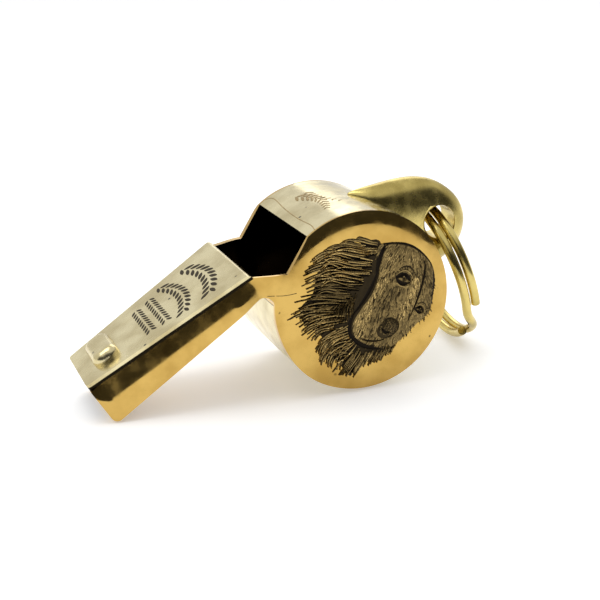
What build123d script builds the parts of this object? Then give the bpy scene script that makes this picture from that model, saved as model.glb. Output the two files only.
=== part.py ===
from build123d import *
from math import acos, atan2, cos, degrees, radians, sin, sqrt
import os

# Brass pea whistle for dog training, in millimetres.
# The drum stands on a table with the tip of its mouthpiece: +X from the tip to the drum, +Y across the
# drum, +Z up. The origin is on the table, under the middle of the whole object's box.

# Drum
drum_radius = 10.5
drum_width = 17.7
side_sheet = 0.8  # thickness of the two side plates
strip_sheet = 0.7  # thickness of the wrap, the roof and the floor
rim_round = 0.45

# Mouthpiece, measured along its roof and square to it
mouth_slope = 31.07  # fall of the roof towards the tip, degrees
roof_rise = 0.3  # roof's outer face above the drum's own tangent
lip_back = 1.2  # sounding lip short of the tangent point
window_length = 7.5  # from the lip to the roof's turned-down end
notch_run = 3.3
notch_drop = 2.45
neck_half_width = 7.69
neck_depth = 3.05
tip_half_width = 4.95
tip_depth = 5.2
tip_round = 0.75  # lower corners of the flanks, which stand on the table
corner_round = 0.5  # upright corners of the tip
fold_round = 0.6  # bend at the roof's window end
turn_down = 1.15  # depth of the roof's turned-down end
crook_radius = 1.05

# Tooth grips, pressed outwards from the roof and the floor
grip_from_tip = 3.6
grip_length = 6.2
grip_width = 3.2
grip_height = 1.2
grip_corner = 1.3
grip_round = 1.0

# Suspension lug
lug_rise = 7.55  # highest point above the drum
lug_half_width = 2.8
lug_sink = 0.3  # depth of the loft's base under the drum's surface, trimmed away again
lug_hole_radius = 2.0
lug_hole_angle = 25.8  # round the drum from +X
lug_hole_rise = 3.7  # hole's centre above the drum
lug_hole_flare = 0.6  # rounded mouths of the hole
lug_hole_straight = 1.7  # half length of the hole's straight part

# Split ring
ring_radius = 8.9  # centreline of the coils
wire_diameter = 1.1
coil_pitch = 1.25
ring_lean = 27.0  # slide of the ring through its hole, towards +Y, degrees
ring_lift = 0.3  # wire's middle above the hole's own
joggle_start = 84.0  # round the ring from the hole, down its -Y side
joggle_end = 118.0
end_gap = 2.0  # between each wire end and the joggle beside it

# Pea
pea_radius = 4.7
pea_clearance = 0.15

# Mouthpiece in its own plane: x along the roof towards the tip, y square to the roof, origin on the
# drum's axis.
slope_cos = cos(radians(mouth_slope))
slope_sin = sin(radians(mouth_slope))
roof_top = drum_radius + roof_rise
window_end = lip_back + window_length

# The tip's lower corner stands on the table with the drum.
tip_end = (drum_radius + (roof_top - tip_depth + tip_round) * slope_cos - tip_round) / slope_sin + tip_round
lip = Vector(lip_back, sqrt(drum_radius**2 - lip_back**2))
notch = Vector(window_end - notch_run, roof_top - notch_drop)
tip_low = Vector(tip_end, roof_top - tip_depth)
neck_low = Vector(window_end, roof_top - neck_depth)
underside = (tip_low - neck_low).normalized()
outward = Vector(underside.Y, -underside.X)

# Crook: the arc that turns from the underside into the drum, tangent to both.
crook_start = neck_low + outward * crook_radius
crook_run = crook_start.dot(underside)
crook_reach = drum_radius + crook_radius
crook_shift = sqrt(crook_run**2 - crook_start.dot(crook_start) + crook_reach**2) - crook_run
crook_centre = crook_start + underside * crook_shift
crook_on_floor = crook_centre - outward * crook_radius
crook_on_drum = crook_centre * (drum_radius / crook_reach)

# Ring: it leans through its hole and swings out until it stands on the table. One that is too small to
# reach the table hangs straight down.
hole_distance = drum_radius + lug_hole_rise
hole_x = hole_distance * cos(radians(lug_hole_angle))
hole_z = hole_distance * sin(radians(lug_hole_angle))
ring_foot = 0.75 * wire_diameter  # reach of the two coils below their centreline
ring_headroom = hole_z + drum_radius + ring_lift - ring_foot
ring_drop = ring_radius * (1 + cos(radians(ring_lean)))
ring_swing = acos(min(1.0, ring_headroom / ring_drop))
ring_down = Vector(
    sin(ring_swing) * cos(radians(ring_lean)),
    sin(radians(ring_lean)),
    -cos(ring_swing) * cos(radians(ring_lean)),
)
ring_normal = Vector(cos(ring_swing), 0, sin(ring_swing))
hang_x = hole_x - ring_lift * sin(ring_swing)
hang_z = hole_z + ring_lift * cos(ring_swing)

# The whole object's box, from the tip to the ring and from the near face to the ring, sets the origin.
tip_x = -tip_end * slope_cos - roof_top * slope_sin
ring_half_thickness = wire_diameter / 2 + coil_pitch * cos(ring_swing) / 2
ring_x = hang_x + ring_radius * (ring_down.X + sin(ring_swing)) + ring_half_thickness
ring_y = ring_radius * (1 + ring_down.Y) + wire_diameter / 2
drum_x = -(tip_x + ring_x) / 2
drum_y = (drum_width / 2 - ring_y) / 2
axis = Vector(drum_x, drum_y, drum_radius)
ring_centre = axis + Vector(hang_x, 0, hang_z) + ring_down * ring_radius

mouth = Plane(origin=axis, x_dir=(-slope_cos, 0, -slope_sin), z_dir=(0, 1, 0))
mouth_side = mouth.offset(-drum_width)  # a full width short of the middle, so profiles run right across
across = Vector(0, 1, 0)
drum_behind = Vector(-0.6, -0.8) * drum_radius  # a place on the drum away from its mouth, for its arcs
half_turned = cos(radians(45))  # share of a round's radius left at its middle


def on_mouth(point):
    """World place of a point of the mouthpiece's plane."""
    return mouth.from_local_coords(Vector(point.X, point.Y, 0))


def on_ring(angle, height):
    """Place on the ring's centreline cylinder, in the ring's own plane."""
    turn = radians(angle)
    return (ring_radius * cos(turn), ring_radius * sin(turn), height)


# Plan view: the sides run flat past the drum, bend in at the neck and taper to the tip.
bend_x = -notch.X * slope_cos - notch.Y * slope_sin
neck_x = -window_end * slope_cos - roof_top * slope_sin
taper = (neck_half_width - tip_half_width) / (neck_x - tip_x)
plan_margin = 4.0
plan_plane = Plane(origin=(drum_x, drum_y, -plan_margin))
plan_height = 2 * drum_radius + 3 * plan_margin


def side_line(side, inset):
    """Draw one side of the plan, inset from the outer faces; side is -1 near and 1 far."""
    flat = side * (drum_width / 2 - inset)
    neck = side * (neck_half_width - inset)
    end_x = tip_x - plan_margin
    end = neck - side * taper * (neck_x - end_x)
    Line((drum_radius + plan_margin, flat), (bend_x, flat))
    Spline((bend_x, flat), (neck_x, neck), tangents=((-1, 0), (-1, -side * taper)))
    Line((neck_x, neck), (end_x, end))
    return (drum_radius + plan_margin, flat), (end_x, end)


def plan_between(low, high):
    """Plan region between two side lines, each given as (side, inset)."""
    with BuildSketch(plan_plane) as region:
        with BuildLine():
            low_back, low_tip = side_line(*low)
            high_back, high_tip = side_line(*high)
            Line(low_back, high_back)
            Line(low_tip, high_tip)
        make_face()
    return region.sketch


outer_plan = plan_between((-1, 0), (1, 0))
inner_plan = plan_between((-1, side_sheet), (1, side_sheet))
side_plans = {
    "near_side_plate": plan_between((-1, 0), (-1, side_sheet)),
    "far_side_plate": plan_between((1, side_sheet), (1, 0)),
}

# The drum's rim runs from the lip, over the top and round to the crook.
lip_direction = (on_mouth(lip) - axis).normalized()
wrap_sweep = 360 - degrees(atan2(lip.Y, lip.X) - atan2(crook_on_drum.Y, crook_on_drum.X))

# Side outline: round face, sounding notch and mouthpiece flank in one sheet.
with BuildSketch(mouth_side) as side_outline:
    with BuildLine():
        Polyline(
            (lip.X, lip.Y),
            (notch.X, notch.Y),
            (window_end, roof_top - strip_sheet),
            (tip_end, roof_top - strip_sheet),
            (tip_low.X, tip_low.Y),
            (crook_on_floor.X, crook_on_floor.Y),
        )
        crook_middle = crook_centre - (outward + crook_centre.normalized()).normalized() * crook_radius
        ThreePointArc(
            (crook_on_floor.X, crook_on_floor.Y),
            (crook_middle.X, crook_middle.Y),
            (crook_on_drum.X, crook_on_drum.Y),
        )
        ThreePointArc(
            (crook_on_drum.X, crook_on_drum.Y),
            (drum_behind.X, drum_behind.Y),
            (lip.X, lip.Y),
        )
    make_face()
    fillet(side_outline.vertices().sort_by_distance((tip_low.X, tip_low.Y, 0))[0], tip_round)


def finish(part, name):
    """Label one piece and write its STEP file."""
    part.label = name
    export_step(part, "parts/" + name + ".step")


os.makedirs("parts", exist_ok=True)

# Side plates
for name, side_plan in side_plans.items():
    side = -1 if name.startswith("near") else 1
    with BuildPart() as side_plate:
        extrude(side_outline.sketch, amount=2 * drum_width)
        extrude(side_plan, amount=plan_height, mode=Mode.INTERSECT)
        tip_corner = on_mouth(Vector(tip_end, roof_top - tip_depth / 2)) + across * (side * tip_half_width)
        fillet(side_plate.edges().sort_by_distance(tip_corner)[0], corner_round)
        with BuildSketch(Plane(origin=axis, x_dir=lip_direction, z_dir=lip_direction.cross(across))):
            rim_face = side * drum_width / 2
            rim_start = side * (drum_width / 2 - rim_round)
            rim_middle = side * (drum_width / 2 - rim_round * (1 - half_turned))
            with BuildLine():
                ThreePointArc(
                    (drum_radius, rim_start),
                    (drum_radius - rim_round * (1 - half_turned), rim_middle),
                    (drum_radius - rim_round, rim_face),
                )
                Polyline(
                    (drum_radius - rim_round, rim_face),
                    (drum_radius - rim_round, 2 * rim_face),
                    (2 * drum_radius, 2 * rim_face),
                    (2 * drum_radius, rim_start),
                    (drum_radius, rim_start),
                )
            make_face()
        revolve(axis=Axis(axis, across), revolution_arc=wrap_sweep, mode=Mode.SUBTRACT)
    finish(side_plate.part, name)

# Barrel wrap: the drum's curved wall, from the lip over the top and round to the crook
with BuildPart() as barrel_wrap:
    with BuildSketch(mouth_side):
        with BuildLine():
            inner_scale = (drum_radius - strip_sheet) / drum_radius
            lip_inner = lip * inner_scale
            crook_inner = crook_on_drum * inner_scale
            behind_inner = drum_behind * inner_scale
            ThreePointArc((lip.X, lip.Y), (drum_behind.X, drum_behind.Y), (crook_on_drum.X, crook_on_drum.Y))
            Line((crook_on_drum.X, crook_on_drum.Y), (crook_inner.X, crook_inner.Y))
            ThreePointArc(
                (crook_inner.X, crook_inner.Y),
                (behind_inner.X, behind_inner.Y),
                (lip_inner.X, lip_inner.Y),
            )
            Line((lip_inner.X, lip_inner.Y), (lip.X, lip.Y))
        make_face()
    extrude(amount=2 * drum_width)
    extrude(inner_plan, amount=plan_height, mode=Mode.INTERSECT)
finish(barrel_wrap.part, "barrel_wrap")

# Mouthpiece roof, with its turned-down end and its tooth grip
with BuildPart() as mouthpiece_roof:
    with BuildSketch(mouth_side):
        with BuildLine():
            Polyline(
                (tip_end, roof_top - strip_sheet),
                (tip_end, roof_top),
                (window_end, roof_top),
                (window_end, roof_top - turn_down),
                (window_end + strip_sheet, roof_top - turn_down),
                (window_end + strip_sheet, roof_top - strip_sheet),
                close=True,
            )
        make_face()
    extrude(amount=2 * drum_width)
    extrude(outer_plan, amount=plan_height, mode=Mode.INTERSECT)
    fold_edge = on_mouth(Vector(window_end, roof_top))
    fillet(mouthpiece_roof.edges().sort_by_distance(fold_edge)[0], fold_round)
    for side in (-1, 1):
        roof_corner = on_mouth(Vector(tip_end, roof_top - strip_sheet / 2)) + across * (side * tip_half_width)
        fillet(mouthpiece_roof.edges().sort_by_distance(roof_corner)[0], corner_round)
    # The turned-down end hangs between the side plates.
    for side in (-1, 1):
        with BuildSketch(mouth.offset(side * (neck_half_width - side_sheet))):
            with Locations((window_end, roof_top - strip_sheet)):
                Rectangle(4 * strip_sheet, 4 * strip_sheet, align=(Align.CENTER, Align.MAX))
        extrude(amount=side * 2 * side_sheet, mode=Mode.SUBTRACT)
    grip_foot = on_mouth(Vector(tip_end - grip_from_tip, roof_top))
    with BuildSketch(Plane(origin=grip_foot, x_dir=across, z_dir=mouth.y_dir)):
        RectangleRounded(grip_length, grip_width, grip_corner)
    extrude(amount=grip_height)
    grip_top = mouthpiece_roof.faces().sort_by_distance(grip_foot + mouth.y_dir * grip_height)[0]
    fillet(grip_top.edges(), grip_round)
finish(mouthpiece_roof.part, "mouthpiece_roof")

# Mouthpiece floor, from the tip to the crook, with its tooth grip
with BuildPart() as mouthpiece_floor:
    with BuildSketch(mouth_side):
        with BuildLine():
            tip_inner = tip_low - outward * strip_sheet
            bend_inner = crook_on_floor - outward * strip_sheet
            drum_inner = crook_on_drum * inner_scale
            bend_direction = (crook_middle - crook_centre).normalized()
            bend_middle = crook_centre + bend_direction * (crook_radius + strip_sheet)
            Polyline(
                (crook_on_floor.X, crook_on_floor.Y),
                (tip_low.X, tip_low.Y),
                (tip_inner.X, tip_inner.Y),
                (bend_inner.X, bend_inner.Y),
            )
            ThreePointArc(
                (bend_inner.X, bend_inner.Y),
                (bend_middle.X, bend_middle.Y),
                (drum_inner.X, drum_inner.Y),
            )
            Line((drum_inner.X, drum_inner.Y), (crook_on_drum.X, crook_on_drum.Y))
            ThreePointArc(
                (crook_on_drum.X, crook_on_drum.Y),
                (crook_middle.X, crook_middle.Y),
                (crook_on_floor.X, crook_on_floor.Y),
            )
        make_face()
    extrude(amount=2 * drum_width)
    extrude(inner_plan, amount=plan_height, mode=Mode.INTERSECT)
    grip_foot = on_mouth(tip_low - underside * grip_from_tip)
    grip_out = mouth.x_dir * outward.X + mouth.y_dir * outward.Y
    with BuildSketch(Plane(origin=grip_foot, x_dir=across, z_dir=grip_out)):
        RectangleRounded(grip_length, grip_width, grip_corner)
    extrude(amount=grip_height)
    grip_top = mouthpiece_floor.faces().sort_by_distance(grip_foot + grip_out * grip_height)[0]
    fillet(grip_top.edges(), grip_round)
finish(mouthpiece_floor.part, "mouthpiece_floor")

# Suspension lug: a cast teardrop, lofted round the drum through half ellipses
# (degrees round the drum from +X, share of the rise, share of the half width)
lug_stations = (
    (80.0, 0.03, 0.10),
    (71.0, 0.15, 0.44),
    (62.5, 0.30, 0.68),
    (53.0, 0.54, 0.84),
    (44.0, 0.77, 0.94),
    (34.5, 0.93, 0.99),
    (25.0, 1.00, 1.00),
    (17.0, 0.92, 0.97),
    (10.5, 0.72, 0.88),
    (5.5, 0.42, 0.66),
    (3.0, 0.14, 0.36),
)
with BuildPart() as suspension_lug:
    for angle, rise_share, width_share in lug_stations:
        radial = Vector(cos(radians(angle)), 0, sin(radians(angle)))
        station_foot = axis + radial * (drum_radius - lug_sink)
        station = Plane(origin=station_foot, x_dir=across, z_dir=across.cross(radial))
        with BuildSketch(station):
            with BuildLine():
                half_width = lug_half_width * width_share
                rise = lug_rise * rise_share + lug_sink
                EllipticalCenterArc((0, 0), half_width, rise, arc_size=180)
                Line((-half_width, 0), (half_width, 0))
            make_face()
    loft()
    with BuildSketch(mouth_side):
        Circle(drum_radius)
    extrude(amount=2 * drum_width, mode=Mode.SUBTRACT)
    with BuildSketch(Plane(origin=axis + Vector(hole_x, 0, hole_z), x_dir=across, z_dir=(1, 0, 0))):
        flare_end = lug_hole_straight + lug_hole_flare
        flare_top = lug_hole_radius + lug_hole_flare
        flare_middle = (
            lug_hole_straight + lug_hole_flare * half_turned,
            flare_top - lug_hole_flare * half_turned,
        )
        with BuildLine():
            Line((-lug_hole_straight, lug_hole_radius), (lug_hole_straight, lug_hole_radius))
            ThreePointArc((lug_hole_straight, lug_hole_radius), flare_middle, (flare_end, flare_top))
            Polyline(
                (flare_end, flare_top),
                (2 * flare_end, flare_top),
                (2 * flare_end, 0),
                (-2 * flare_end, 0),
                (-2 * flare_end, flare_top),
                (-flare_end, flare_top),
            )
            ThreePointArc(
                (-flare_end, flare_top),
                (-flare_middle[0], flare_middle[1]),
                (-lug_hole_straight, lug_hole_radius),
            )
        make_face()
    revolve(axis=Axis(axis + Vector(hole_x, 0, hole_z), across), mode=Mode.SUBTRACT)
finish(suspension_lug.part, "suspension_lug")

# Split ring: the inner coil, a joggle across to the outer coil, and the outer coil to its cut end
# It is drawn flat, then placed: a Spline drawn on a plane has that plane's origin added to its tangents.
ring_plane = Plane(origin=ring_centre, x_dir=ring_down * -1, z_dir=ring_normal)
inner_start = joggle_end + end_gap
inner_sweep = 360 + joggle_start - inner_start
outer_sweep = 360 + joggle_start - end_gap - joggle_end
half_pitch = coil_pitch / 2
joggle_middle = (joggle_start + joggle_end) / 2
with BuildPart() as split_ring:
    with BuildLine() as wire_path:
        CenterArc((0, 0, -half_pitch), ring_radius, inner_start, inner_sweep)
        Spline(
            on_ring(joggle_start, -half_pitch),
            on_ring(joggle_middle, 0),
            on_ring(joggle_end, half_pitch),
            tangents=(
                (-sin(radians(joggle_start)), cos(radians(joggle_start)), 0),
                (-sin(radians(joggle_end)), cos(radians(joggle_end)), 0),
            ),
        )
        CenterArc((0, 0, half_pitch), ring_radius, joggle_end, outer_sweep)
    with BuildSketch(Plane(origin=wire_path.line @ 0, z_dir=wire_path.line % 0)):
        Circle(wire_diameter / 2)
    sweep(path=wire_path.line)
finish(ring_plane.location * split_ring.part, "split_ring")

# Cork pea, at the lowest point of the chamber
pea_orbit = drum_radius - strip_sheet - pea_clearance - pea_radius
with BuildPart() as cork_pea:
    with Locations(axis - Vector(0, 0, pea_orbit)):
        Sphere(pea_radius)
finish(cork_pea.part, "cork_pea")

# What the record states: the axes of the moving pieces, and the far face's centre
print("drum axis", tuple(axis), "hole", (drum_x + hole_x, drum_y, drum_radius + hole_z))
far_face = drum_y + drum_width / 2
print("ring centre", tuple(ring_centre), "ring swing", degrees(ring_swing), "far face y", far_face)
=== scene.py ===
import math
import random

import bpy
import numpy as np
from mathutils import Matrix, Vector
from mathutils.bvhtree import BVHTree
from mathutils.geometry import delaunay_2d_cdt


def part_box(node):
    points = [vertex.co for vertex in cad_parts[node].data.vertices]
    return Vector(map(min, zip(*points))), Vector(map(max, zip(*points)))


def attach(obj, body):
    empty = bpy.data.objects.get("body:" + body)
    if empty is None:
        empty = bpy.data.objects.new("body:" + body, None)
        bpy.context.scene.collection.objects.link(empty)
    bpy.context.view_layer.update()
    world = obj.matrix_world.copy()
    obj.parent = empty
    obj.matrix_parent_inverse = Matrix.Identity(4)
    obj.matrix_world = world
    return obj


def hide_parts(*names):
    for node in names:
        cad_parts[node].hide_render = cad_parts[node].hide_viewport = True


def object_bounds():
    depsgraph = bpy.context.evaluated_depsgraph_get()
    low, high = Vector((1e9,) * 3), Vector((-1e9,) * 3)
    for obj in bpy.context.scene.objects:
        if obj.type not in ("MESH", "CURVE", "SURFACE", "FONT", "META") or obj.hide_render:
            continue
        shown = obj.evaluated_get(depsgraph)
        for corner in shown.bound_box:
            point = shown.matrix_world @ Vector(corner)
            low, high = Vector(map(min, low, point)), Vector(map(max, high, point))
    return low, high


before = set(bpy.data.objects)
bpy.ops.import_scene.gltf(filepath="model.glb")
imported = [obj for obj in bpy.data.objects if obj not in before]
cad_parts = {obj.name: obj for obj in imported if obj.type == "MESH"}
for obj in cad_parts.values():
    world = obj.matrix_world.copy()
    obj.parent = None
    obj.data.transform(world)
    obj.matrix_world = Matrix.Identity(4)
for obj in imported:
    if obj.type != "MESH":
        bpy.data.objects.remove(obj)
cad_low, cad_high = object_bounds()

MM = 0.001

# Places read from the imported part
wrap_low, wrap_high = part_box("barrel_wrap")
plate_low, plate_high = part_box("near_side_plate")
far_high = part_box("far_side_plate")[1]
DRUM_RADIUS = (wrap_high.z - wrap_low.z) / 2
DRUM = Vector(((wrap_low.x + wrap_high.x) / 2, plate_low.y, (wrap_low.z + wrap_high.z) / 2))
MIDDLE_Y = (plate_low.y + far_high.y) / 2
FLOOR_Z = cad_low.z

# Mouthpiece plane: down the roof towards the tip, and square to the roof
MOUTH_SLOPE = math.radians(31.07)
ROOF_RISE = DRUM_RADIUS + 0.3 * MM  # roof's outer face above the drum's axis
WINDOW_END = 8.7 * MM  # roof's start, along the mouthpiece from the drum's axis
TO_TIP = Vector((-math.cos(MOUTH_SLOPE), 0, -math.sin(MOUTH_SLOPE)))
ROOF_UP = Vector((-math.sin(MOUTH_SLOPE), 0, math.cos(MOUTH_SLOPE)))
TIP_DEPTH = 5.2 * MM
TIP_ROUND = 0.75 * MM
STRIP = 0.7 * MM  # sheet of the wrap, the roof and the floor
TIP_DROP = (ROOF_RISE - TIP_DEPTH + TIP_ROUND) * math.cos(MOUTH_SLOPE)
TIP_END = (DRUM_RADIUS + TIP_DROP - TIP_ROUND) / math.sin(MOUTH_SLOPE) + TIP_ROUND
AXIS = Vector((DRUM.x, MIDDLE_Y, DRUM.z))

# ---------------------------------------------------------------- materials


def smooth_range(tree, value, low, high, out_low, out_high):
    """Ease a value from one range to another."""
    node = tree.nodes.new("ShaderNodeMapRange")
    node.interpolation_type = "SMOOTHSTEP"
    for key, number in zip(("From Min", "From Max", "To Min", "To Max"), (low, high, out_low, out_high)):
        node.inputs[key].default_value = number
    tree.links.new(value, node.inputs["Value"])
    return node.outputs["Result"]


class Nodes:
    """A material with its principled shader, and short ways to add and join nodes."""

    def __init__(self, name, colour, metallic, roughness):
        self.material = bpy.data.materials.new(name)
        self.material.use_nodes = True
        self.tree = self.material.node_tree
        self.shader = self.tree.nodes["Principled BSDF"]
        self.shader.inputs["Base Color"].default_value = (*colour, 1)
        self.shader.inputs["Metallic"].default_value = metallic
        self.shader.inputs["Roughness"].default_value = roughness
        self.place = self.add("ShaderNodeTexCoord").outputs["Object"]

    def add(self, kind, **values):
        node = self.tree.nodes.new(kind)
        for key, value in values.items():
            if hasattr(node, key):
                setattr(node, key, value)
            else:
                node.inputs[key.replace("_", " ")].default_value = value
        return node

    def join(self, source, target):
        self.tree.links.new(source, target)

    def noise(self, scale, detail=4.0, stretch=None):
        """Noise over the piece, its scale in cells per metre, stretched along an axis if asked."""
        place = self.place
        if stretch:
            mapping = self.add("ShaderNodeMapping")
            mapping.inputs["Scale"].default_value = stretch
            self.join(place, mapping.inputs["Vector"])
            place = mapping.outputs["Vector"]
        node = self.add("ShaderNodeTexNoise", Scale=scale, Detail=detail)
        self.join(place, node.inputs["Vector"])
        return node.outputs["Fac"]

    def remap(self, value, low, high, out_low, out_high):
        return smooth_range(self.tree, value, low, high, out_low, out_high)

    def mix(self, amount, first, second):
        """Blend two colours; each is a colour or an output."""
        node = self.add("ShaderNodeMix", data_type="RGBA")
        self.join(amount, node.inputs[0])
        for socket, value in ((node.inputs[6], first), (node.inputs[7], second)):
            if isinstance(value, tuple):
                socket.default_value = (*value, 1)
            else:
                self.join(value, socket)
        return node.outputs[2]

    def bump(self, height, distance, strength=1.0):
        node = self.add("ShaderNodeBump")
        node.inputs["Distance"].default_value = distance
        node.inputs["Strength"].default_value = strength
        self.join(height, node.inputs["Height"])
        self.join(node.outputs["Normal"], self.shader.inputs["Normal"])

    def combine(self, operation, first, second):
        """A math node on an output and a second output or number."""
        node = self.add("ShaderNodeMath", operation=operation)
        self.join(first, node.inputs[0])
        if isinstance(second, float):
            node.inputs[1].default_value = second
        else:
            self.join(second, node.inputs[1])
        return node.outputs[0]

    def along(self, vector, direction):
        """How far a vector reaches along direction."""
        node = self.add("ShaderNodeVectorMath", operation="DOT_PRODUCT")
        node.inputs[1].default_value = direction
        self.join(vector, node.inputs[0])
        return node.outputs["Value"]

    def beyond(self, direction, level):
        """1 where a point lies further than level along direction, 0 where it lies short of it."""
        return self.combine("GREATER_THAN", self.along(self.place, direction), level)

    def facing(self, direction):
        """0 where the surface looks within 60 degrees of straight against direction, 1 elsewhere."""
        normal = self.add("ShaderNodeTexCoord").outputs["Normal"]
        return self.combine("GREATER_THAN", self.along(normal, direction), -0.5)

    def outside_drum(self, radius):
        """1 where a point lies further than radius from the drum's axis."""
        flat = self.add("ShaderNodeVectorMath", operation="MULTIPLY_ADD")
        flat.inputs[1].default_value = (1, 0, 1)
        flat.inputs[2].default_value = (-AXIS.x, 0, -AXIS.z)
        self.join(self.place, flat.inputs[0])
        length = self.add("ShaderNodeVectorMath", operation="LENGTH")
        self.join(flat.outputs["Vector"], length.inputs[0])
        return self.combine("GREATER_THAN", length.outputs["Value"], radius)


GOLD = (0.64, 0.42, 0.115)
DEEP_GOLD = (0.50, 0.31, 0.075)
CREAM = (0.76, 0.67, 0.40)
CREAM_SHADE = (0.55, 0.46, 0.24)
GREEN_GOLD = (0.70, 0.56, 0.19)
GREEN_SHADE = (0.40, 0.31, 0.09)
# Dark brown: the real tarnish of casting pits, and the painted shade of inside faces
TARNISH_AND_PAINTED_SHADE = (0.012, 0.009, 0.005)
CREST = (0.82, 0.58, 0.22)
PATINA = (0.018, 0.014, 0.010)


def brass(name, light, shade, smooth=0.09, rough=0.24, inside=None, grain=(1, 1, 1)):
    """Polished brass with cloudy tone, handling scratches and casting pits; inside is a mask function, 0
    where inner faces get painted shade.
    """
    made = Nodes(name, light, 1.0, smooth)
    cloud = made.remap(made.noise(260, 5), 0.35, 0.7, 0, 1)
    colour = made.mix(cloud, light, shade)
    pits = made.add("ShaderNodeTexVoronoi", Scale=520.0)
    made.join(made.place, pits.inputs["Vector"])
    rare = made.remap(made.noise(340, 2), 0.54, 0.62, 0, 1)
    spot = made.combine("MULTIPLY", made.remap(pits.outputs["Distance"], 0.05, 0.13, 1, 0), rare)
    colour = made.mix(spot, colour, TARNISH_AND_PAINTED_SHADE)
    scratch = made.noise(1500, 3, grain)
    roughness = made.remap(made.noise(700, 4), 0.3, 0.75, smooth, rough)
    # Painted shade: where the mask gives 0, the inner faces take the dark tarnish colour
    if inside:
        colour = made.mix(inside(made), TARNISH_AND_PAINTED_SHADE, colour)
    made.join(colour, made.shader.inputs["Base Color"])
    made.join(roughness, made.shader.inputs["Roughness"])
    made.bump(made.combine("SUBTRACT", scratch, spot), 0.006 * MM, 0.35)
    return made.material


def patina_brass(name):
    """Brass whose hollows keep a black patina and whose ridges are rubbed bright."""
    made = Nodes(name, GOLD, 1.0, 0.3)
    rubbed = made.add("ShaderNodeAttribute", attribute_name="rubbed").outputs["Fac"]
    blotch = made.remap(made.noise(1400, 5), 0.3, 0.7, 0.75, 1.1)
    level = made.combine("MULTIPLY", rubbed, blotch)
    made.join(made.mix(level, PATINA, CREST), made.shader.inputs["Base Color"])
    made.join(made.remap(level, 0, 1, 0.55, 0.22), made.shader.inputs["Roughness"])
    made.bump(made.noise(5200, 3), 0.01 * MM, 0.5)
    return made.material


def cork(name):
    """Pressed cork: matt, lumpy and uneven in tone."""
    made = Nodes(name, (0.55, 0.36, 0.2), 0.0, 0.85)
    lump = made.remap(made.noise(900, 6), 0.35, 0.65, 0, 1)
    made.join(made.mix(lump, (0.30, 0.17, 0.08), (0.62, 0.43, 0.25)), made.shader.inputs["Base Color"])
    made.join(made.remap(made.noise(2200, 4), 0.3, 0.7, 0.75, 0.95), made.shader.inputs["Roughness"])
    made.bump(lump, 0.12 * MM, 0.8)
    return made.material


# The inside faces get painted shade in the tarnish colour: they lie more than half a sheet below the outer
# ones, or look inwards
wrap_level = DRUM_RADIUS - STRIP / 2
roof_level = AXIS.dot(ROOF_UP) + ROOF_RISE - STRIP / 2
wrap_brass = brass("brass_wrap", CREAM, CREAM_SHADE, 0.14, 0.28, inside=lambda m: m.outside_drum(wrap_level))
roof_brass = brass(
    "brass_roof", CREAM, CREAM_SHADE, 0.18, 0.32, inside=lambda m: m.beyond(ROOF_UP, roof_level)
)
far_brass = brass("brass_far", GOLD, DEEP_GOLD, inside=lambda m: m.facing((0, 1, 0)))
side_brass = brass("brass_side", GOLD, DEEP_GOLD, 0.07, 0.2)
floor_brass = brass("brass_floor", GOLD, DEEP_GOLD, 0.1, 0.28, inside=lambda m: m.facing(-ROOF_UP))
lug_brass = brass("brass_lug", GREEN_GOLD, GREEN_SHADE, 0.18, 0.34)
wire_brass = brass("brass_wire", GREEN_GOLD, GREEN_SHADE, 0.12, 0.3, grain=(1, 6, 1))
engraved = patina_brass("brass_engraved")
cork_lumps = cork("cork_lumps")

for node_name, finish in (
    ("barrel_wrap", wrap_brass),
    ("mouthpiece_roof", roof_brass),
    ("mouthpiece_floor", floor_brass),
    ("far_side_plate", far_brass),
    ("suspension_lug", lug_brass),
    ("split_ring", wire_brass),
    ("cork_pea", cork_lumps),
):
    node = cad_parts[node_name]
    node.data.materials.clear()
    node.data.materials.append(finish)


SHARP_ANGLE = 42  # degrees between faces from which an edge is sharp


def add_mesh(name, points, faces, finish, body="whistle"):
    """One smooth-shaded piece that rides on a body."""
    mesh = bpy.data.meshes.new(name)
    mesh.from_pydata([tuple(p) for p in points], [], [tuple(int(i) for i in f) for f in faces])
    mesh.update()
    for polygon in mesh.polygons:
        polygon.use_smooth = True
    mesh.set_sharp_from_angle(angle=math.radians(SHARP_ANGLE))
    mesh.materials.append(finish)
    piece = bpy.data.objects.new(name, mesh)
    bpy.context.scene.collection.objects.link(piece)
    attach(piece, body)
    return piece


def set_rubbed(piece, tones):
    """Say for each point how far its patina is rubbed away, from 0 to 1."""
    layer = piece.data.attributes.new("rubbed", "FLOAT", "POINT")
    layer.data.foreach_set("value", np.asarray(tones, np.float32))


def on_curve(a, b, c, d, t):
    """Place at share t from b to c of a smooth curve through four places."""
    return 0.5 * (2 * b + (c - a) * t + (2 * a - 5 * b + 4 * c - d) * t**2 + (3 * b - a - 3 * c + d) * t**3)


def within(loop, x, z):
    """Whether each place lies inside a closed loop, and how far it is from the loop's nearest point."""
    mask, near = np.zeros(x.shape, bool), np.full(x.shape, np.inf)
    for a, b in zip(loop, np.roll(loop, -1, 0)):
        if a[1] != b[1]:
            side = x < a[0] + (z - a[1]) / (b[1] - a[1]) * (b[0] - a[0])
            mask ^= ((a[1] > z) != (b[1] > z)) & side
        near = np.minimum(near, np.hypot(x - a[0], z - a[1]))
    return mask, near


def closed_sheet(front, count):
    """Front faces, the same faces turned round on points numbered count higher, and the rim between them."""
    edges = dict.fromkeys((i, j) for f in front for i, j in zip(f, f[1:] + f[:1]))
    back = [[i + count for i in f[::-1]] for f in front]
    rim = [[j, i, i + count, j + count] for i, j in edges if (j, i) not in edges]
    return front + back + rim


# ---------------------------------------------------------------- near side plate

plate_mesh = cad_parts["near_side_plate"].data
plate_faces = [p.vertices for p in plate_mesh.polygons]


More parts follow.
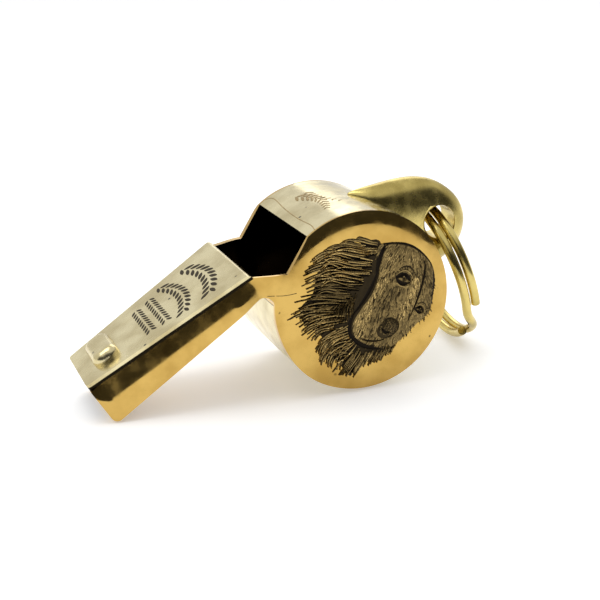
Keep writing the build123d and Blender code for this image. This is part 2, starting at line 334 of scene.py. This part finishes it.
def arc(centre, radius, start, stop, step=2.5):
    """Points of an arc in the mouthpiece's plane, from start to stop degrees."""
    turns = np.radians(np.linspace(start, stop, max(3, int(abs(stop - start) / step))))
    return [np.array(centre) + radius * np.array((math.cos(t), math.sin(t))) for t in turns]


def front_outline():
    """The plate's outline in x and z: lip, notch, flank, rounded tip, crook and round drum."""
    lip_back, notch, neck_depth = 1.2 * MM, np.array((5.4, 8.35)) * MM, 3.05 * MM
    crook_radius = 1.05 * MM
    tip_low = np.array((TIP_END, ROOF_RISE - TIP_DEPTH))
    neck_low = np.array((WINDOW_END, ROOF_RISE - neck_depth))
    under = (tip_low - neck_low) / np.linalg.norm(tip_low - neck_low)
    out = np.array((under[1], -under[0]))
    start = neck_low + out * crook_radius
    run = start @ under
    crook = start + under * (math.sqrt(run**2 - start @ start + (DRUM_RADIUS + crook_radius) ** 2) - run)
    on_drum = math.degrees(math.atan2(crook[1], crook[0]))
    on_floor = math.degrees(math.atan2(-out[1], -out[0]))
    lip_turn = math.degrees(math.acos(lip_back / DRUM_RADIUS))
    floor_turn = math.degrees(math.atan2(out[1], out[0]))
    corner = (180 - math.degrees(math.acos(np.clip(-under @ np.array((0, 1)), -1, 1)))) / 2
    inset = TIP_ROUND / math.tan(math.radians(corner))
    corner_centre = tip_low + np.array((0, inset)) - np.array((TIP_ROUND, 0))
    crook_turn = on_drum + 180
    bend = arc(crook, crook_radius, on_floor % 360, crook_turn % 360)
    drum = arc((0, 0), DRUM_RADIUS, on_drum, lip_turn - 360)
    loop = [np.array((lip_back, DRUM_RADIUS * math.sin(math.radians(lip_turn)))), notch]
    loop += [np.array((WINDOW_END, ROOF_RISE - STRIP)), np.array((TIP_END, ROOF_RISE - STRIP))]
    loop += arc(corner_centre, TIP_ROUND, 0, floor_turn, 10) + bend + drum[1:-1]
    down, up = np.array((TO_TIP.x, TO_TIP.z)), np.array((ROOF_UP.x, ROOF_UP.z))
    return np.array([np.array((DRUM.x, DRUM.z)) + p[0] * down + p[1] * up for p in loop])


def evenly(loop, spacing):
    """The same closed outline with long edges divided."""
    made = []
    for a, b in zip(loop, np.roll(loop, -1, 0)):
        count = max(1, int(np.linalg.norm(b - a) / spacing))
        made += [a + (b - a) * k / count for k in range(count)]
    return np.array(made)


plate_tree = BVHTree.FromPolygons([v.co for v in plate_mesh.vertices], plate_faces)


def outermost(x):
    """Lowest y of the near plate in the slice at x."""
    slices = (Vector((x, plate_low.y - 5 * MM, z)) for z in np.linspace(plate_low.z, plate_high.z, 40))
    hits = (plate_tree.ray_cast(start, Vector((0, 1, 0)))[0] for start in slices)
    return min(h.y for h in hits if h is not None)


plan_x = np.linspace(plate_low.x + 0.5 * MM, plate_high.x - 0.5 * MM, 160)
plan_y = np.array([outermost(x) for x in plan_x])
plan_y = np.convolve(np.pad(plan_y, 3, mode="edge"), np.ones(7) / 7, "valid")

DISH_START = 0.79  # share of the drum's radius where the face begins to fall back
DISH_DEPTH = 0.46 * MM
DISH_UNTIL, DISH_FADE = 9 * MM, 3 * MM  # along the mouthpiece, where the dish fades out and over what run
FLANK_FROM, FLANK_RUN = 7.5 * MM, 4.5 * MM  # along the mouthpiece, where the flank's lean sets in
FLANK_TILT = 0.27  # how far the upper band of the flank leans back, as a slope
FLANK_EASE = 0.6 * MM  # soft lower edge of that band
NECK_SIDE, SIDE_GROWTH = 2.35 * MM, 2.15 * MM  # depth of the flank at the window, and its gain at the tip
BAND_SHARE = 0.46  # share of the flank's depth that leans back
BAND_ROUND = 1.3 * MM  # rounded end of the band at the tip


def face_y(x, z):
    """Depth of the near plate's face: flat, dished at the drum's rim, leaning back along the flank's top."""
    base = np.interp(x, plan_x, plan_y)
    share = np.hypot(x - DRUM.x, z - DRUM.z) / DRUM_RADIUS
    along = (x - DRUM.x) * TO_TIP.x + (z - DRUM.z) * TO_TIP.z
    below = ROOF_RISE - STRIP - ((x - DRUM.x) * ROOF_UP.x + (z - DRUM.z) * ROOF_UP.z)
    flank = np.clip((along - FLANK_FROM) / FLANK_RUN, 0, 1)
    flank = flank * flank * (3 - 2 * flank)
    on_drum = np.clip(1 - (along - DISH_UNTIL) / DISH_FADE, 0, 1)
    fall = np.clip((share - DISH_START) / (1 - DISH_START), 0, 1) ** 2 * DISH_DEPTH * on_drum
    depth = NECK_SIDE + np.clip((along - WINDOW_END) / (TIP_END - WINDOW_END), 0, 1) * SIDE_GROWTH
    band = BAND_SHARE * depth * np.sqrt(np.clip((TIP_END - along) / BAND_ROUND, 0.02, 1))
    soft = np.clip(band + FLANK_EASE - below, 0, FLANK_EASE)
    lean = FLANK_TILT * (np.clip(band - below, 0, 1) + soft * soft / (2 * FLANK_EASE))
    full = FLANK_TILT * (BAND_SHARE * depth + FLANK_EASE / 2)
    return base + fall + (lean - full) * flank


SIDE_SHEET = 0.8 * MM
OUTLINE_STEP = 0.2 * MM
INNER_STEP = 0.32 * MM
EDGE_ROOM = 0.085 * MM  # least room between the outline's points and an inner point
ROW_ROOM = 0.08 * MM  # the rows along the mouthpiece stop this far outside the drum
RIM_INSETS = (0.10, 0.22, 0.36, 0.52, 0.70, 0.90)  # mm; closer near the edge, where the face turns


def inner_points():
    """Rings that follow the drum's rim, and rows that follow the roofline."""
    insets = np.concatenate((RIM_INSETS, np.arange(1.15, 10.4, 0.32))) * MM
    grid = []
    for inset in insets:
        radius = DRUM_RADIUS - inset
        count = max(6, int(2 * math.pi * radius / INNER_STEP))
        turns = np.linspace(0, 2 * math.pi, count, endpoint=False)
        grid += [(DRUM.x + radius * math.cos(t), DRUM.z + radius * math.sin(t)) for t in turns]
    for inset in insets:
        rise = ROOF_RISE - STRIP - inset
        for run in np.arange(2 * MM, 34 * MM, INNER_STEP):
            x = DRUM.x + TO_TIP.x * run + ROOF_UP.x * rise
            z = DRUM.z + TO_TIP.z * run + ROOF_UP.z * rise
            if math.hypot(x - DRUM.x, z - DRUM.z) > DRUM_RADIUS + ROW_ROOM:
                grid.append((x, z))
    return np.array(grid)


# Painted shade: near-black brass for the plate's face inside the whistle
painted_shade_inside = brass("brass_painted_shade_inside", (0.05, 0.038, 0.02), TARNISH_AND_PAINTED_SHADE, 0.35, 0.6)


def near_plate():
    """The plate as one closed sheet: outline from CAD, face from face_y, thickness behind it."""
    outline = evenly(front_outline(), OUTLINE_STEP)
    count = len(outline)
    grid = inner_points()
    mask, near = within(outline, grid[:, 0], grid[:, 1])
    points = [Vector(p) for p in np.vstack((outline, grid[mask & (near > EDGE_ROOM)])) / MM]
    edges = [(i, (i + 1) % count) for i in range(count)]
    spots, _, front, *_ = delaunay_2d_cdt(points, edges, [list(range(count))], 1, 1e-4)
    x, z = np.array([(p.x, p.y) for p in spots]).T * MM
    back = np.interp(x, plan_x, plan_y) + SIDE_SHEET
    verts = np.concatenate((np.stack((x, face_y(x, z), z), 1), np.stack((x, back, z), 1)))
    front = [list(f) for f in front]
    a, b, c = (verts[i] for i in front[0][:3])
    if np.cross(b - a, c - a)[1] > 0:
        front = [f[::-1] for f in front]
    faces = closed_sheet(front, len(x))
    piece = add_mesh("near_plate_dished", verts, faces, side_brass)
    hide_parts("near_side_plate")
    # The back faces, inside the whistle, get the painted shade material
    piece.data.materials.append(painted_shade_inside)
    for polygon in piece.data.polygons[len(front) : 2 * len(front)]:
        polygon.material_index = 1


near_plate()

# ---------------------------------------------------------------- gundog relief

draw = random.Random(7)
CELL = 0.05  # relief grid, mm
REACH = 9.6  # half the side of that grid, mm
RELIEF_RADIUS = 9.35  # the relief ends this far from the drum's centre, mm
FOOT_DEPTH = 0.10  # how far it is sunk in the plate, mm
BARE, LOWEST = -0.05, -0.02  # height of a cell with no relief, and the lowest that has any, mm
steps = np.arange(-REACH, REACH + CELL / 2, CELL)
gx, gz = np.meshgrid(steps, steps, indexing="ij")
height = np.full(gx.shape, BARE)
rubbed = np.zeros(gx.shape)
ground = np.full(gx.shape, 0.05)


def inside(outline):
    """Which cells lie in a smooth closed outline through a few given points, in mm, and how far in."""
    p = np.array(outline, float)
    loop = []
    for i in range(len(p)):
        four = [p[(i + k) % len(p)] for k in (-1, 0, 1, 2)]
        loop += [on_curve(*four, t) for t in np.linspace(0, 1, 10, endpoint=False)]
    return within(np.array(loop), gx, gz)


def mass(outline, top, tone, crown=1.2):
    """Raise a smooth body of metal over the face."""
    mask, near = inside(outline)
    lift = top * np.clip(near / crown, 0.2, 1) ** 0.5
    height[mask] = lift[mask]
    ground[mask] = lift[mask]
    rubbed[mask] = tone


def stroke(root, bend, tip, width, lift, tone, cut=False, wave=0.0):
    """A hair or fold: a tapering ridge with a bright crest and dark sides, or a dark groove if cut."""
    length = math.hypot(tip[0] - root[0], tip[1] - root[1])
    side = np.array((root[1] - tip[1], tip[0] - root[0])) / max(length, CELL)
    for t in np.linspace(0, 1, max(3, int(length / (0.7 * CELL)))):
        swing = wave * math.sin(5.5 * t + 0.6)
        x = (1 - t) ** 2 * root[0] + 2 * t * (1 - t) * bend[0] + t * t * tip[0] + side[0] * swing
        z = (1 - t) ** 2 * root[1] + 2 * t * (1 - t) * bend[1] + t * t * tip[1] + side[1] * swing
        w = max(1.2 * CELL, width * math.sin(math.pi * (0.12 + 0.86 * t)) ** 0.7)
        i, j, r = int(round((x + REACH) / CELL)), int(round((z + REACH) / CELL)), int(w / CELL) + 2
        area = (slice(max(0, i - r), i + r + 1), slice(max(0, j - r), j + r + 1))
        d = np.hypot(gx[area] - x, gz[area] - z) / w
        shape = np.clip(1 - d * d, 0, 1)
        if cut:
            floor_of_cut = np.maximum(ground[area] - lift * shape, 0.015)
            open_cell = (d < 1) & (height[area] > 0)
            height[area] = np.where(open_cell, np.minimum(height[area], floor_of_cut), height[area])
            rubbed[area] *= np.where(d < 1, 1 - shape * tone, 1)
        else:
            ridge = np.maximum(height[area] - 0.02, ground[area] + lift * shape)
            height[area] = np.where(d < 1, ridge, height[area])
            bright = tone * np.clip(1.15 - (d / 0.80) ** 2, 0, 1)
            dulled = np.where(d < 1, rubbed[area] * 0.86, rubbed[area])
            rubbed[area] = np.where(d < 0.45, np.maximum(bright, 0.75 * rubbed[area]), dulled)


def nearby(line, t):
    """Place at share t of a short drawn line."""
    p = np.array(line, float)
    s = t * (len(p) - 1)
    i = min(int(s), len(p) - 2)
    return p[i] + (p[i + 1] - p[i]) * (s - i)


def locks(roots, tips, sag, count, width=0.2, tone=1.0, wave=0.0, start=0.4):
    """A family of hair strokes from one line to another, each with a dark groove beside it."""
    for k in range(count):
        t = (k + draw.uniform(0.1, 0.9)) / count
        a, b = nearby(roots, t), nearby(tips, min(1, max(0, t + draw.uniform(-0.06, 0.06))))
        first, last = draw.uniform(0, start), draw.uniform(0.72, 1.08)
        root, tip = a + (b - a) * first, a + (b - a) * last
        bend = (root + tip) / 2 + np.array(sag) * draw.uniform(0.5, 1.4)
        off = np.array((0.0, -0.8 * width))
        stroke(root + off, bend + off, tip + off, width * 0.9, 0.10, 1.0, True, wave)
        wide, lift = width * draw.uniform(0.55, 1.05), 0.16 + draw.uniform(0, 0.10)
        stroke(root, bend, tip, wide, lift, tone * draw.uniform(0.65, 1.25), wave=wave)


def closeness(x, z, line, reach):
    """1 on a short line of two places, falling off around it."""
    a, b = np.array(line[0], float), np.array(line[1], float)
    p = np.array((x, z))
    t = min(1, max(0, (p - a) @ (b - a) / ((b - a) @ (b - a))))
    return math.exp(-(np.linalg.norm(p - a - t * (b - a)) / reach) ** 2)


# Outlines of the fur and of the head, and the middle lines of the head's light and dark planes: painted
# light and painted shade laid over rubbed wear and patina
FUR = [
    (1.7, 7.1), (-1.2, 6.7), (-4.3, 5.3), (-5.7, 3.6), (-6.3, 1.8), (-7.7, 0.4), (-7.4, -1.4), (-5.4, -3.2),
    (-4.6, -5.2), (-3.2, -7.0), (-1.9, -8.6), (-1.2, -7.0), (1.4, -6.4), (3.0, -5.2), (2.0, 0.0), (2.2, 5.0),
]
HEAD = [
    (1.7, 6.3), (4.4, 6.5), (6.5, 5.6), (8.2, 3.7), (8.75, 1.7), (8.5, -0.4), (7.9, -2.4), (6.3, -3.5),
    (4.9, -4.7), (3.2, -5.7), (1.4, -5.3), (-0.3, -4.8), (-1.4, -3.7), (-1.5, -2.2), (-0.5, -0.7),
    (0.9, 1.0), (1.8, 3.4),
]
# Each plane: its middle line, how far it reaches, and how much its painted light lightens or its painted
# shade darkens the coat
RUBBED_AND_PAINTED_LIGHT_PLANES = (
    ([(1.7, 2.6), (0.2, -0.4)], 0.6, 0.75), ([(0.0, -0.6), (-1.0, -3.3)], 0.7, 0.75),
    ([(6.5, 2.2), (4.4, -2.0)], 0.40, 0.60), ([(3.2, 5.2), (5.8, 4.6)], 0.7, 0.35),
    ([(2.6, 3.4), (2.4, 1.6)], 0.5, 0.35),
)
PATINA_AND_PAINTED_SHADE_PLANES = (
    ([(3.2, 1.0), (0.9, -3.4)], 0.55, 0.42), ([(4.2, 1.2), (5.0, 0.2)], 0.6, 0.35),
    ([(7.6, 4.2), (8.1, -1.6)], 0.6, 0.32), ([(4.6, -2.8), (2.2, -4.8)], 0.5, 0.25),
)

# Locks of the ear and neck, from the back of the head outwards, each as locks() takes them
mass(FUR, 0.12, 0.03)
for family in (
    ([(1.7, 6.9), (1.5, 5.6)], [(-1.8, 7.6), (-4.4, 6.7), (-5.4, 5.9)], (-0.3, 0.5), 20, 0.22, 0.9, 0.12),
    ([(1.6, 5.8), (1.0, 4.0), (0.4, 2.6)], [(-5.6, 5.8), (-6.7, 4.4), (-7.0, 2.8)],
     (-0.2, 1.0), 34, 0.24, 1.0, 0.16),
    ([(0.4, 2.8), (-0.6, 1.4), (-1.4, 0.4)], [(-6.6, 2.9), (-7.2, 1.9), (-8.2, 1.0)],
     (0.0, 0.6), 22, 0.17, 0.55, 0.08),
    ([(-1.4, 0.6), (-2.6, -0.4), (-3.0, -1.6)], [(-8.8, 0.5), (-8.9, -0.8), (-7.9, -2.2), (-6.2, -3.9)],
     (0.1, 0.5), 46, 0.15, 0.95, 0.06, 0.55),
    ([(-1.0, 1.4), (-2.4, 0.4), (-4.0, 0.2)], [(-1.6, -1.8), (-3.4, -2.0), (-5.4, -1.6)],
     (-0.3, 0.0), 44, 0.10, 0.6, 0.0, 0.3),
    ([(-1.9, -1.6), (-1.9, -3.4), (-1.2, -4.8)], [(-5.9, -4.6), (-5.6, -6.0), (-4.6, -7.6)],
     (-0.6, 1.0), 34, 0.20, 1.0, 0.10),
    ([(-1.2, -4.8), (0.0, -5.6), (0.9, -6.0)], [(-4.2, -7.9), (-2.6, -8.4), (-1.75, -9.1), (-0.9, -7.8)],
     (0.3, 0.2), 26, 0.16, 0.8, 0.05),
    ([(0.4, -5.8), (2.2, -5.7), (3.9, -5.0)], [(-0.7, -7.7), (1.2, -7.5), (3.2, -6.7)],
     (0.1, 0.1), 26, 0.12, 1.0, 0.04),
    # Single bright strands lying over the locks
    ([(1.5, 6.2), (0.8, 4.2), (0.0, 2.4)], [(-4.6, 6.6), (-6.2, 4.6), (-6.6, 2.6)],
     (-0.2, 1.1), 22, 0.13, 1.5, 0.16, 0.5),
    ([(-1.6, -0.2), (-2.2, -2.6), (-1.0, -5.0)], [(-8.2, -0.6), (-5.8, -4.6), (-3.4, -8.0)],
     (-0.2, 0.7), 26, 0.11, 1.5, 0.08, 0.6),
):
    locks(*family)

# Head, its short coat laid in the direction it grows
mass(HEAD, 0.36, 0.34, 2.4)
head_mask, head_edge = inside(HEAD)
HAIRS = 1500
coat = 0
while coat < HAIRS:
    x, z = draw.uniform(-1.6, 8.8), draw.uniform(-5.8, 6.6)
    cell = (int(round((x + REACH) / CELL)), int(round((z + REACH) / CELL)))
    if not head_mask[cell] or head_edge[cell] < 0.12:
        continue
    coat += 1
    # The coat's tone: rubbed wear and patina, with painted light and painted shade from the planes
    tone = 0.52 + sum(k * closeness(x, z, line, r) for line, r, k in RUBBED_AND_PAINTED_LIGHT_PLANES)
    tone -= sum(k * closeness(x, z, line, r) for line, r, k in PATINA_AND_PAINTED_SHADE_PLANES)
    grain = math.radians(-112 + 9 * max(0, x - 3) - 10 * max(0, z - 3.5)) + draw.uniform(-0.25, 0.25)
    reach = draw.uniform(0.30, 0.75)
    tip = (x + reach * math.cos(grain), z + reach * math.sin(grain))
    if draw.random() < 0.22:
        stroke((x, z), (x, z), tip, 0.07, 0.05, 0.8, True)
    else:
        width = draw.uniform(0.08, 0.13)
        stroke((x, z), (x, z), tip, width, 0.06, min(1, max(0.12, tone * draw.uniform(0.8, 1.35))))

# Folds and shadows that part the head from the fur
for root, bend, tip, width, depth, tone in (
    ((2.5, 6.3), (1.6, 4.8), (1.5, 2.9), 0.30, 0.14, 1.0),
    ((1.6, 3.4), (0.6, 0.8), (-1.7, -1.4), 0.22, 0.14, 1.0),
    ((-1.5, -1.2), (-2.4, -2.9), (-1.6, -4.2), 0.26, 0.14, 1.0),
    ((-1.8, -3.6), (-0.8, -5.4), (1.8, -5.8), 0.28, 0.14, 1.0),
    ((2.4, 6.5), (6.4, 7.0), (8.5, 3.0), 0.22, 0.10, 1.0),
    ((8.5, 3.2), (9.0, 0.6), (8.0, -2.5), 0.26, 0.10, 1.0),
    ((7.9, -2.5), (6.0, -4.2), (3.0, -6.0), 0.20, 0.10, 1.0),
    ((7.4, 3.9), (7.6, 1.6), (5.2, -2.9), 0.16, 0.12, 0.9),
    ((-0.6, -4.2), (0.8, -5.0), (2.2, -4.7), 0.12, 0.10, 1.0),
):
    stroke(root, bend, tip, width, depth, tone, True)


def eye(x, z, size, turn):
    """An almond eye: dark socket, lids above and below, and a round ball with a lit spot."""
    c, s = math.cos(turn), math.sin(turn)

    def at(u, v):
        return (x + size * (u * c - v * s), z + size * (u * s + v * c))

    stroke(at(-1.5, -0.1), at(0, 1.3), at(1.4, -0.3), 0.55 * size, 0.10, 0.95, True)
    stroke(at(-1.4, -0.3), at(0, -1.5), at(1.3, -0.4), 0.42 * size, 0.10, 0.9, True)
    stroke(at(-1.6, 0.5), at(-0.1, 2.5), at(1.7, 0.2), 0.22 * size, 0.12, 0.75)
    stroke(at(-1.5, 1.3), at(0, 3.3), at(2.0, 0.9), 0.16 * size, 0.05, 0.9, True)
    stroke(at(-1.2, -1.0), at(0.2, -1.9), at(1.5, -0.9), 0.20 * size, 0.10, 0.85)
    stroke(at(-0.05, 0), at(0, 0), at(0.05, 0), 0.70 * size, 0.16, 0.30)
    stroke(at(-0.05, -0.05), at(0, -0.05), at(0.05, -0.05), 0.42 * size, 0.02, 1.0, True)
    stroke(at(-0.35, 0.3), at(-0.3, 0.32), at(-0.2, 0.33), 0.18 * size, 0.20, 1.0)


eye(4.75, 2.25, 0.66, -0.35)
eye(6.75, -1.75, 0.40, -0.5)

# Nose pad with its pebbled skin and nostril
NOSE = [(1.3, -3.6), (1.9, -2.6), (2.9, -2.1), (3.9, -2.7), (4.0, -3.7), (3.0, -4.5), (1.9, -4.5)]
mass(NOSE, 0.42, 0.05, 0.8)
for k in range(150):
    turn, out = draw.uniform(0, 2 * math.pi), draw.uniform(0, 1) ** 0.5
    x, z = 2.7 + 1.2 * out * math.cos(turn), -3.35 + 1.05 * out * math.sin(turn)
    stroke((x, z), (x, z), (x + 0.05, z), 0.09, 0.05, draw.uniform(0.15, 0.55))
stroke((2.0, -3.4), (2.3, -4.0), (2.9, -3.9), 0.2, 0.16, 1.0, True)


def relief():
    """The relief as one closed piece: it stands where it is raised, on a foot sunk in the plate."""
    live = height > LOWEST
    cells = live[:-1, :-1] & live[1:, :-1] & live[:-1, 1:] & live[1:, 1:]
    cells &= np.hypot(gx[:-1, :-1], gz[:-1, :-1]) < RELIEF_RADIUS
    index = -np.ones(gx.shape, int)
    ii, jj = np.nonzero(cells)
    for di, dj in ((0, 0), (1, 0), (0, 1), (1, 1)):
        index[ii + di, jj + dj] = 0
    keep = index >= 0
    index[keep] = np.arange(keep.sum())
    x, z = gx[keep] * MM + DRUM.x, gz[keep] * MM + DRUM.z
    face = face_y(x, z)
    top = np.stack((x, face - np.maximum(height[keep], LOWEST) * MM, z), 1)
    foot = np.stack((x, face + FOOT_DEPTH * MM, z), 1)
    quads = np.stack((index[ii, jj], index[ii + 1, jj], index[ii + 1, jj + 1], index[ii, jj + 1]), 1)
    faces = closed_sheet(quads.tolist(), len(x))
    piece = add_mesh("gundog_relief", np.vstack((top, foot)), faces, engraved)
    tones = np.clip(rubbed[keep], 0, 1)
    set_rubbed(piece, np.concatenate((tones, np.zeros(len(x)))))


relief()

# ---------------------------------------------------------------- engraving on the roof and the barrel


def roof_place(m, y, lift=0.0):
    """Place on the roof's outer face: m mm down from the window, y mm from its middle line."""
    return AXIS + ROOF_UP * (ROOF_RISE + lift * MM) + TO_TIP * (WINDOW_END + m * MM) + Vector((0, y * MM, 0))


def barrel_place(turn, y, lift=0.0):
    """Place on the barrel: turn degrees round from +X, y mm from the middle line."""
    a = math.radians(turn)
    return AXIS + Vector((math.cos(a), 0, math.sin(a))) * (DRUM_RADIUS + lift * MM) + Vector((0, y * MM, 0))


def inlay(name, leaves, place, tone):
    """Leaf-shaped inlays of patina, 0.035 mm proud; a leaf is its centre, direction, length and width."""
    verts, faces = [], []
    sides = 14
    for u, v, direction, length, width in leaves:
        c, s = math.cos(direction), math.sin(direction)
        base = len(verts)
        for lift in (0.02, -0.05):
            for k in range(sides):
                a = 2 * math.pi * k / sides
                p, q = math.cos(a) * length / 2, math.sin(a) * abs(math.sin(a)) ** 0.6 * width / 2
                verts.append(place(u + p * c - q * s, v + p * s + q * c, lift))
        verts.append(place(u, v, 0.035))
        verts.append(place(u, v, -0.05))
        for k in range(sides):
            n = (k + 1) % sides
            faces.append((base + k, base + n, base + 2 * sides))
            faces.append((base + sides + n, base + sides + k, base + 2 * sides + 1))
            faces.append((base + n, base + k, base + sides + k, base + sides + n))
    set_rubbed(add_mesh(name, verts, faces, engraved), [tone] * len(verts))


def garland(middle, half_width, bow, count, length):
    """Paired leaves along a bowed line across the roof."""
    made = []
    for k in range(count):
        t = -1 + 2 * (k + 0.5) / count
        lean = math.atan2(1, 2 * bow * t / half_width)
        for tilt in (0.65, -0.65):
            off = 0.42 * math.copysign(length, tilt)
            across = middle + bow * t * t + off * math.sin(lean)
            made.append((across, half_width * t, lean + tilt, length, 0.36 * length))
    return made


roof_leaves = garland(3.3, 5.3, 1.6, 10, 1.45) + garland(6.9, 5.2, 1.5, 11, 1.25)
roof_leaves += garland(10.2, 4.2, 0.0, 11, 0.95) + garland(12.2, 3.8, 0.0, 10, 0.95)
inlay("roof_garland", roof_leaves, roof_place, 0.04)


def barrel_flat(m, y, lift=0.0):
    """Place on the barrel, m mm back from a line over its upper front."""
    return barrel_place(116 - math.degrees(m * MM / DRUM_RADIUS), y, lift)


def spray(root, tip, bow, count, length):
    """A fern frond: a pair of leaves at each step of a bowed stem, shorter towards its end."""
    made = []
    for k in range(count):
        t = (k + 0.5) / count
        u = root[0] + (tip[0] - root[0]) * t + bow * math.sin(math.pi * t)
        v = root[1] + (tip[1] - root[1]) * t
        lean = math.atan2(tip[1] - root[1], tip[0] - root[0] + bow * math.pi * math.cos(math.pi * t))
        size = length * (1.1 - 0.7 * t)
        for turn in (lean + 0.75, lean - 0.75):
            middle = (u + 0.4 * size * math.cos(turn), v + 0.4 * size * math.sin(turn))
            made.append((*middle, turn, size, 0.26 * size))
    return made


fronds = spray((1.0, 3.6), (2.2, -4.4), 1.1, 10, 1.5) + spray((2.6, 3.8), (4.6, -3.0), -0.6, 8, 1.1)
inlay("barrel_frond", fronds, barrel_flat, 0.42)


def thread(name, points, place, radius, tone):
    """A fine engraved line, as a low closed bead along the surface."""
    p = np.array(points, float)
    path = []
    for i in range(len(p) - 1):
        four = p[max(0, i - 1)], p[i], p[i + 1], p[min(len(p) - 1, i + 2)]
        path += [on_curve(*four, t) for t in np.linspace(0, 1, 12, endpoint=i == len(p) - 2)]
    spots = [place(q[0], q[1], 0.0) for q in path]
    verts, faces = [], []
    sides = 8
    for i, spot in enumerate(spots):
        ahead = (spots[min(i + 1, len(spots) - 1)] - spots[max(i - 1, 0)]).normalized()
        up = (place(path[i][0], path[i][1], 1.0) - spot).normalized()
        side = ahead.cross(up)
        for k in range(sides):
            a = 2 * math.pi * k / sides
            verts.append(spot + (side * math.cos(a) + up * (0.4 * math.sin(a))) * radius * MM)
    for i in range(len(spots) - 1):
        for k in range(sides):
            n = (k + 1) % sides
            faces.append((i * sides + k, i * sides + n, (i + 1) * sides + n, (i + 1) * sides + k))
    faces.append(tuple(range(sides))[::-1])
    faces.append(tuple((len(spots) - 1) * sides + k for k in range(sides)))
    set_rubbed(add_mesh(name, verts, faces, engraved), [tone] * len(verts))


lip_line = [(122.5, 8.0), (119.0, 6.6), (120.8, 2.0), (121.4, -2.5), (120.4, -6.4), (121.5, -8.0)]
thread("lip_contour", lip_line, barrel_place, 0.06, 0.45)


def face_place(x, z, lift=0.0):
    """Place on the near face: x and z mm from the drum's centre."""
    spot_x, spot_z = DRUM.x + x * MM, DRUM.z + z * MM
    return Vector((spot_x, float(face_y(spot_x, spot_z)) - lift * MM, spot_z))


thread("face_crease", [(-8.1, 2.2), (-9.7, 2.02), (-11.2, 2.0)], face_place, 0.045, 0.2)

# ---------------------------------------------------------------- camera, light and stage

CAMERA_FROM_DRUM = Vector((-5.1787, -12.3333, 4.4282))  # in drum radii
LOOK = Vector((0.32199, 0.89403, -0.31149))
ROLL = math.radians(1.864)
camera_data = bpy.data.cameras.new("camera")
camera_data.lens = 78.71
camera_data.sensor_width = 36
camera_data.clip_start = 0.005
camera = bpy.data.objects.new("camera", camera_data)
bpy.context.scene.collection.objects.link(camera)
bpy.context.scene.camera = camera
camera.location = DRUM + CAMERA_FROM_DRUM * DRUM_RADIUS
look = LOOK.normalized()
level_right = look.cross(Vector((0, 0, 1))).normalized()
level_up = level_right.cross(look)
camera_up = level_up * math.cos(ROLL) + level_right * math.sin(ROLL)
turned = Matrix((look.cross(camera_up), camera_up, -look)).transposed()
camera.matrix_world = Matrix.Translation(camera.location) @ turned.to_4x4()

FLOOR_HALF = 8  # metres
floor_mesh = bpy.data.meshes.new("floor")
corners = [(x * FLOOR_HALF, y * FLOOR_HALF, FLOOR_Z) for x, y in ((-1, -1), (1, -1), (1, 1), (-1, 1))]
floor_mesh.from_pydata(corners, [], [(0, 1, 2, 3)])
floor_paint = Nodes("floor_paint", (0.93, 0.93, 0.93), 0.0, 0.7)
floor_paint.shader.inputs["Emission Color"].default_value = (1, 1, 1, 1)
floor_paint.shader.inputs["Emission Strength"].default_value = 0.30
floor_mesh.materials.append(floor_paint.material)
floor = bpy.data.objects.new("floor", floor_mesh)
bpy.context.scene.collection.objects.link(floor)

OPEN_SKY, DARK_ZONE = 0.86, 0.05  # strength of the world's light
world = bpy.data.worlds.new("studio")
bpy.context.scene.world = world
world.use_nodes = True
tree = world.node_tree
coordinates = tree.nodes.new("ShaderNodeTexCoord")
split = tree.nodes.new("ShaderNodeSeparateXYZ")
tree.links.new(coordinates.outputs["Generated"], split.inputs[0])

# A dark zone low in front of the object, which the dished rim and the flank's band mirror
front_share = smooth_range(tree, split.outputs["Y"], -0.45, 0.05, 1, 0)
low_share = smooth_range(tree, split.outputs["Z"], 0.45, 0.80, 1, 0)
dark = tree.nodes.new("ShaderNodeMath")
dark.operation = "MULTIPLY"
tree.links.new(front_share, dark.inputs[0])
tree.links.new(low_share, dark.inputs[1])
background = tree.nodes["Background"]
background.inputs["Color"].default_value = (1, 1, 1, 1)
tree.links.new(smooth_range(tree, dark.outputs[0], 0, 1, OPEN_SKY, DARK_ZONE), background.inputs["Strength"])


def softbox(name, location, target, size, watts):
    """A square lamp of a given side in metres, turned towards a target."""
    data = bpy.data.lights.new(name, "AREA")
    data.energy = watts
    data.size = size
    lamp = bpy.data.objects.new(name, data)
    bpy.context.scene.collection.objects.link(lamp)
    lamp.location = location
    lamp.rotation_euler = (Vector(target) - Vector(location)).to_track_quat("-Z", "Y").to_euler()


softbox("key", (-0.12, 0.02, 0.32), (0, 0, 0.01), 0.22, 0.36)
softbox("rear", (0.15, 0.25, 0.20), (0, 0, 0.01), 0.20, 0.16)

bpy.context.scene.view_settings.view_transform = "Standard"
